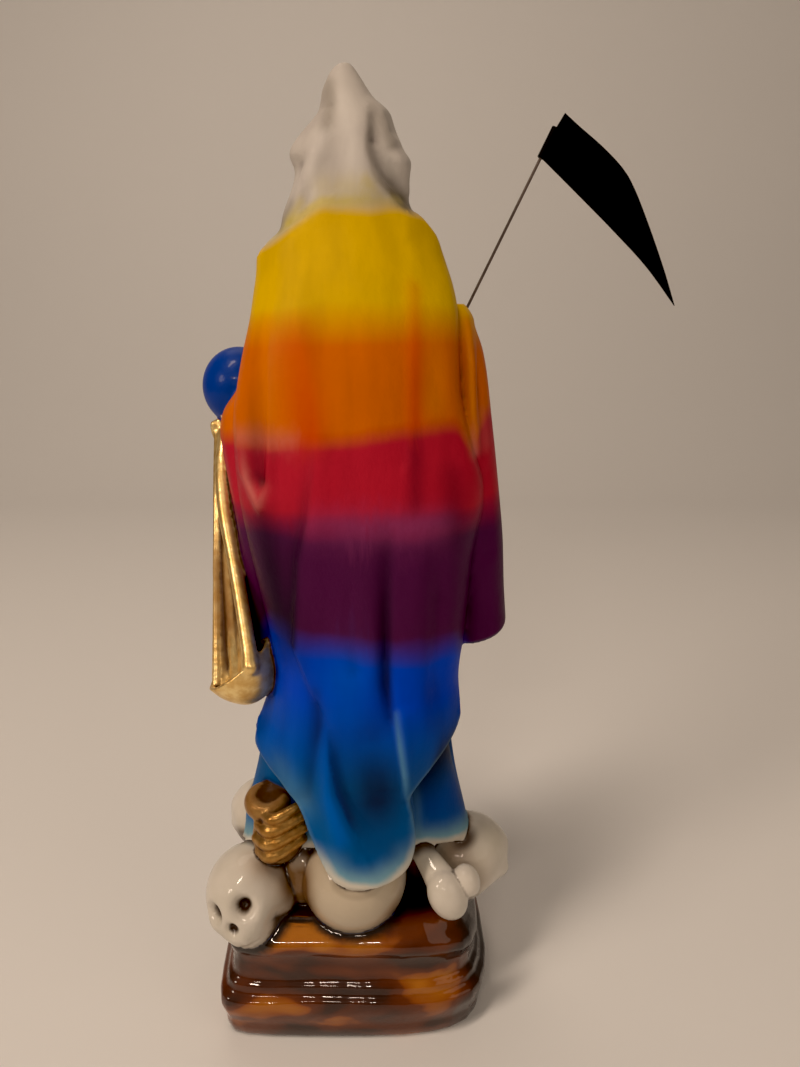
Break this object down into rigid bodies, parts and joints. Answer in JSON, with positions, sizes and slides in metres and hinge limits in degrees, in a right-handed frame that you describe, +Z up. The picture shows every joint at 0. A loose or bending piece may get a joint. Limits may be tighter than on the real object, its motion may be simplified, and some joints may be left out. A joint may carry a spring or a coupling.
{
  "type": "hooded skeleton figurine",
  "caption": "Cast figurine of a robed, hooded skeleton with a scythe, a globe and scales, standing among skulls on a stepped plinth.",
  "frame": {"origin": "centre of the flat underside of the plinth", "axes": "+Z up to the tip of the hood, +X to the figure's left, the figure faces -Y"},
  "size_m": [0.1204, 0.0659, 0.2323],
  "materials": {
    "painted_casting": "airbrushed bands of pearl white, yellow, orange, crimson, purple and blue, with pearl bones, gold scales and owl, a blue globe and a brown plinth, under gloss varnish",
    "wire": "dark grey-brown, satin",
    "blade_sheet": "black, satin"
  },
  "bodies": {
    "root": {"figure": "painted_casting", "scythe_handle": "wire", "scythe_blade": "blade_sheet"}
  },
  "joints": []
}
